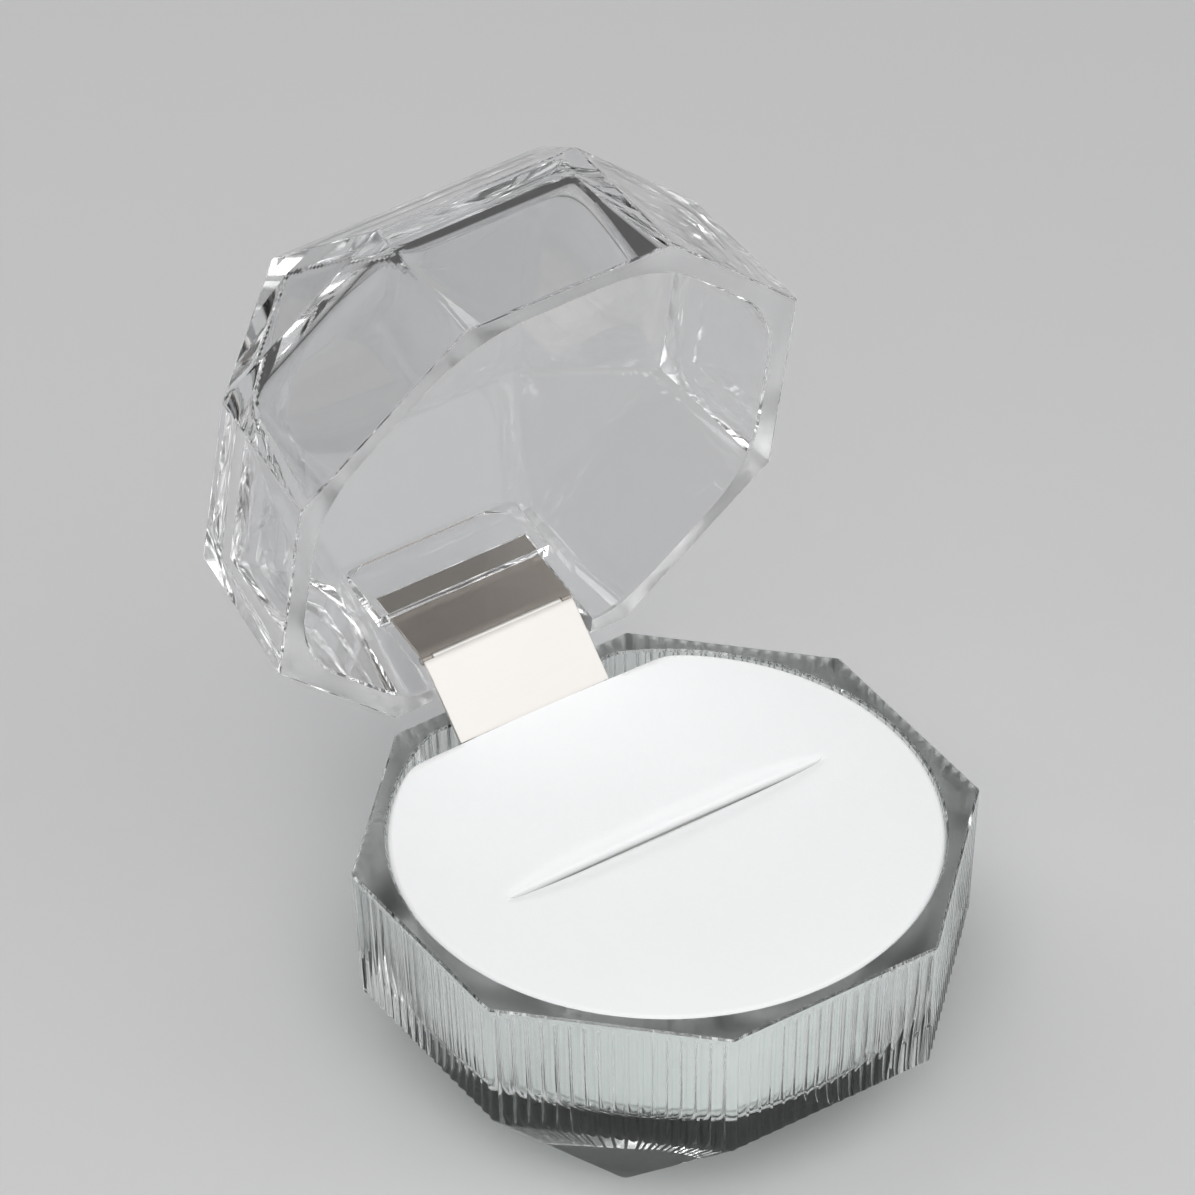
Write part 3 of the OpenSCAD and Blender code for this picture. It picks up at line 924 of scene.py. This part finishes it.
def bent_sheet(name, band, z_crease, z_end):
    """One half of the band's sheet, from the crease to its end. Near the crease it falls back from
    its plane by (b - d)^2 / 2R, at the distance d from the crease, over the bend's length b. Its
    ends along X are softened."""
    soft = 0.05 * MM
    d = np.concatenate([np.linspace(0, band.bend, 10), [abs(z_end - z_crease)]])
    sign = 1 if z_end > z_crease else -1
    rows = []
    for x, inset in ((-1, soft), (-1, 0), (1, 0), (1, soft)):
        along = np.clip(d, inset, d[-1] - inset)
        fall = np.clip(band.bend - along, 0, None) ** 2 / (2 * band.bend_r)
        front = np.column_stack([band.front + fall + inset, z_crease + sign * along])
        rear = front + [band.sheet - 2 * inset, 0]
        ring = np.concatenate([front, rear[::-1]])
        at = x * (band.width / 2 - (soft if inset == 0 else 0))
        rows.append(np.column_stack([np.full(len(ring), at), ring]))
    return solid(name, np.stack(rows))


def crease_bar(how, name, band, radius, ends, edge, steps=96):
    """A step that adds or cuts a round bar in the band's crease, between two places along X."""
    centre = (band.crease_y, band.crease_z)
    return how, solid(name, tube_of(radius, *sorted(ends), centre, edge, steps))


def bore_cut(band):
    """A cut for the pin in the crease."""
    reach = band.width / 2 + PAST
    return crease_bar("DIFFERENCE", "bore", band, band.pin_room, (-reach, reach), CUT_EDGE, 32)


def fixed_band(scene):
    """The fixed half of the band: a sheet down to the crease, with an ear at each end."""
    band = scene.ringbox_band
    half = band.width / 2
    room = half - band.ear_w
    room_r = band.roll_r + 0.015 * MM
    top = band.crease_z + band.fixed_h + band.tuck
    piece = bent_sheet("Band_fixed", band, band.crease_z, top)
    steps = [crease_bar("DIFFERENCE", "room", band, room_r, (-room, room), CUT_EDGE)]
    steps += [
        crease_bar("UNION", "ear", band, band.roll_r, (side * half, side * room), ROLL_EDGE)
        for side in (-1, 1)
    ]
    carve(piece, *steps, bore_cut(band))
    return open_with_lid(smooth(piece, METAL_TURN))


def swinging_band(scene):
    """The swinging half of the band: a rolled tube in the crease, and its sheet below."""
    band = scene.ringbox_band
    past_ear = band.width / 2 + 0.2 * MM
    room_r = band.roll_r + 0.04 * MM
    tube = band.width / 2 - band.ear_w - band.gap
    piece = bent_sheet("Band_stay", band, band.crease_z, band.crease_z - band.stay_l)
    steps = [
        crease_bar("DIFFERENCE", "room", band, room_r, (side * past_ear, side * tube), CUT_EDGE)
        for side in (-1, 1)
    ]
    steps.append(crease_bar("UNION", "roll", band, band.roll_r, (-tube, tube), ROLL_EDGE))
    carve(piece, *steps, bore_cut(band))
    swing(piece, band.stay_turn, (band.crease_y, band.crease_z))
    return open_with_lid(smooth(piece, METAL_TURN))


# Stage


def facing(where, back, lean=0):
    """A placement at a point, whose -Z looks along -back, level apart from a roll of `lean`."""
    right = np.cross(-back, [0, 0, 1])
    right /= np.linalg.norm(right)
    up = np.cross(right, -back)
    x = right * math.cos(lean) + up * math.sin(lean)
    y = -right * math.sin(lean) + up * math.cos(lean)
    turned = Matrix([x.tolist(), y.tolist(), back.tolist()]).transposed()
    return Matrix.Translation(where.tolist()) @ turned.to_4x4()


def area_lamp(name, where, target, size, power):
    """A soft rectangular lamp that faces a point."""
    lamp = bpy.data.lights.new(name, "AREA")
    lamp.shape, lamp.size, lamp.size_y, lamp.energy = "RECTANGLE", *size, power
    holder = bpy.data.objects.new(name, lamp)
    back = where - target
    holder.matrix_world = facing(where, back / np.linalg.norm(back))
    bpy.context.scene.collection.objects.link(holder)


def from_angles(azimuth, elevation):
    """Direction towards a viewer: (sin a cos e, -cos a cos e, sin e)."""
    return np.array([
        math.sin(azimuth) * math.cos(elevation), -math.cos(azimuth) * math.cos(elevation),
        math.sin(elevation),
    ])


def build_floor(stage):
    """A plain pale floor, six metres wide."""
    reach = 3.0
    corners = [(-reach, -reach, 0), (reach, -reach, 0), (reach, reach, 0), (-reach, reach, 0)]
    mesh = bpy.data.meshes.new("Floor")
    mesh.from_pydata(corners, [], [(0, 1, 2, 3)])
    paint = Finish("Floor_paint")
    mesh.materials.append(paint.done(paint.surface({
        "Base Color": (*stage.floor, 1), "Roughness": 0.85, "Specular IOR Level": 0.2,
    })))
    floor = link("Floor", mesh)


def build_surroundings(stage):
    """White surroundings that grow from `dark` to `bright` times the stage's world value, towards
    one side in front of the box and over it."""
    bright_side = (0.15, -0.74, 0.656)
    far, near = 0.1, 0.95  # Cosines of the angle to the bright side
    dark, bright = 0.3, 1.9
    studio = Finish("Studio", "worlds")
    towards = studio.add("ShaderNodeTexCoord", output="Generated")
    front = studio.add(
        "ShaderNodeVectorMath", {"operation": "DOT_PRODUCT"}, {0: towards, 1: bright_side},
        output="Value",
    )
    light = studio.add("ShaderNodeMapRange", {"interpolation_type": "SMOOTHSTEP"}, {
        "Value": front, "From Min": far, "From Max": near,
        "To Min": stage.world * dark, "To Max": stage.world * bright,
    })
    shader = studio.add("ShaderNodeBackground", None, {"Color": (1, 1, 1, 1), "Strength": light})
    return studio.done(shader, "ShaderNodeOutputWorld")


def build_lamps(stage):
    """Three soft lamps that face the box, with their places and sizes in metres: one from the
    front, one in the direction in which the open band's swinging half mirrors the camera, and a
    narrow one behind and overhead."""
    middle = np.array([0, 0.005, 0.02])
    key = middle + from_angles(math.radians(-30), math.radians(58)) * 0.75
    fill = middle + from_angles(math.radians(35), math.radians(42)) * 0.8
    top = np.array([-0.35, 0.3, 0.7])
    area_lamp("Key", key, middle, (0.55, 0.55), stage.key)
    area_lamp("Fill", fill, middle, (0.45, 0.6), stage.fill)
    area_lamp("Top", top, middle, (0.12, 0.6), stage.top)


def build_camera(stage):
    """The camera, whose axis passes through one point near the back of the box."""
    aim = np.array([12.072, 26.181, 14.715]) * MM
    camera = bpy.data.cameras.new("Camera")
    camera.lens, camera.sensor_width = stage.lens, 36
    camera.clip_start, camera.clip_end = 0.05, 20
    holder = bpy.data.objects.new("Camera", camera)
    back = from_angles(stage.azimuth, stage.elevation)
    holder.matrix_world = facing(aim + back * stage.distance, back, stage.roll)
    bpy.context.scene.collection.objects.link(holder)
    return holder


def build_stage(scene):
    """Floor, surroundings, lamps and camera. Thick clear plastic needs the extra bounces."""
    stage = scene.ringbox_stage
    build_floor(stage)
    scene.world = build_surroundings(stage)
    build_lamps(stage)
    scene.camera = build_camera(stage)
    scene.view_settings.view_transform = "Standard"
    scene.cycles.max_bounces = 24
    scene.cycles.glossy_bounces = 16
    scene.cycles.transmission_bounces = 24


# Operators


class RINGBOX_OT_base(bpy.types.Operator):
    """Build the clear fluted base"""

    bl_idname = "ringbox.base"
    bl_label = "Clear base"

    def execute(self, context):
        colours = context.scene.ringbox_finishes
        # The base's tint is partly painted shade, for the shaded pad and darker surroundings seen
        # through it
        clear = clear_plastic("Clear_base", colours.base_tint_and_shade)
        matt = clear_plastic("Matt_base_rim", colours.rim_clear, MATT)
        dress(base_piece(context.scene), (clear, matt), "base", ["base_shell"])
        return {"FINISHED"}


class RINGBOX_OT_lid(bpy.types.Operator):
    """Build the clear faceted lid"""

    bl_idname = "ringbox.lid"
    bl_label = "Clear lid"

    def execute(self, context):
        colours = context.scene.ringbox_finishes
        # The lid's grey tint is partly painted shade, for darker surroundings seen through it
        clear = clear_plastic("Clear_lid", colours.lid_tint_and_shade)
        matt = clear_plastic("Matt_lid_rim", colours.lid_tint_and_shade, MATT)
        dress(lid_piece(context.scene), (clear, matt), "lid", ["lid_shell"])
        return {"FINISHED"}


class RINGBOX_OT_pad(bpy.types.Operator):
    """Build the foam pad and its flocked cover"""

    bl_idname = "ringbox.pad"
    bl_label = "Slit pad"

    def execute(self, context):
        colours = context.scene.ringbox_finishes
        cover, foam = cover_piece(context.scene), foam_piece(context.scene)
        flock = flocked("White_flock", colours.flock)
        cells = foamed("White_foam", colours.foam)
        dress(cover, (flock,), "base", ["pad_cover"])
        dress(foam, (cells,), "base", ["pad_foam"])
        return {"FINISHED"}


class RINGBOX_OT_band(bpy.types.Operator):
    """Build both halves of the folded cover band"""

    bl_idname = "ringbox.band"
    bl_label = "Cover band"

    def execute(self, context):
        colours = context.scene.ringbox_finishes
        satin = plated("Plated_band", colours.band)
        # The fixed half's darker plated colour is painted shade, for the darker surroundings that
        # it mirrors
        shaded_sheet = plated("Shaded_band", colours.band_shaded)
        dress(fixed_band(context.scene), (shaded_sheet,), "lid", ["cover_plate"])
        dress(swinging_band(context.scene), (satin,), "stay", ["stay_plate"])
        return {"FINISHED"}


class RINGBOX_OT_hinge(bpy.types.Operator):
    """Finish the hinge leaves and both pins, which keep their CAD shape"""

    bl_idname = "ringbox.hinge"
    bl_label = "Hinge steel"

    def execute(self, context):
        steel = pressed_steel("Hinge_steel", context.scene.ringbox_finishes.steel)
        for name in ("hinge_base_leaf", "hinge_lid_leaf", "hinge_pin", "stay_pin"):
            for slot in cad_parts[name].material_slots:
                slot.material = steel
        return {"FINISHED"}


class RINGBOX_OT_stage(bpy.types.Operator):
    """Build the floor, the lamps and the camera"""

    bl_idname = "ringbox.stage"
    bl_label = "Stage"

    def execute(self, context):
        build_stage(context.scene)
        return {"FINISHED"}


STEPS = ("base", "lid", "pad", "band", "hinge", "stage")


class RINGBOX_PT_panel(bpy.types.Panel):
    """Lists the steps and the sizes"""

    bl_idname = "RINGBOX_PT_panel"
    bl_label = "Ring display box"
    bl_space_type = "VIEW_3D"
    bl_region_type = "UI"
    bl_category = "Ring box"

    def draw(self, context):
        column = self.layout.column()
        for step in STEPS:
            column.operator(f"ringbox.{step}")
        for key in GROUPS:
            group = getattr(context.scene, f"ringbox_{key}")
            part = self.layout.box()
            part.label(text=key.capitalize())
            for name in group.bl_rna.properties.keys():
                if name not in ("rna_type", "name"):
                    part.prop(group, name)


GROUPS = {
    "box": BoxSizes, "hinge": HingeSizes, "band": BandSizes, "pad": PadSizes,
    "finishes": Finishes, "stage": StageSettings,
}
CLASSES = (
    *GROUPS.values(), RINGBOX_OT_base, RINGBOX_OT_lid, RINGBOX_OT_pad, RINGBOX_OT_band,
    RINGBOX_OT_hinge, RINGBOX_OT_stage, RINGBOX_PT_panel,
)


def register():
    for cls in CLASSES:
        bpy.utils.register_class(cls)
    for key, group in GROUPS.items():
        setattr(bpy.types.Scene, f"ringbox_{key}", bpy.props.PointerProperty(type=group))


def unregister():
    for key in GROUPS:
        delattr(bpy.types.Scene, f"ringbox_{key}")
    for cls in reversed(CLASSES):
        bpy.utils.unregister_class(cls)


def main():
    """Builds every piece in order."""
    register()
    for step in STEPS:
        getattr(bpy.ops.ringbox, step)()


if __name__ == "__main__":
    main()
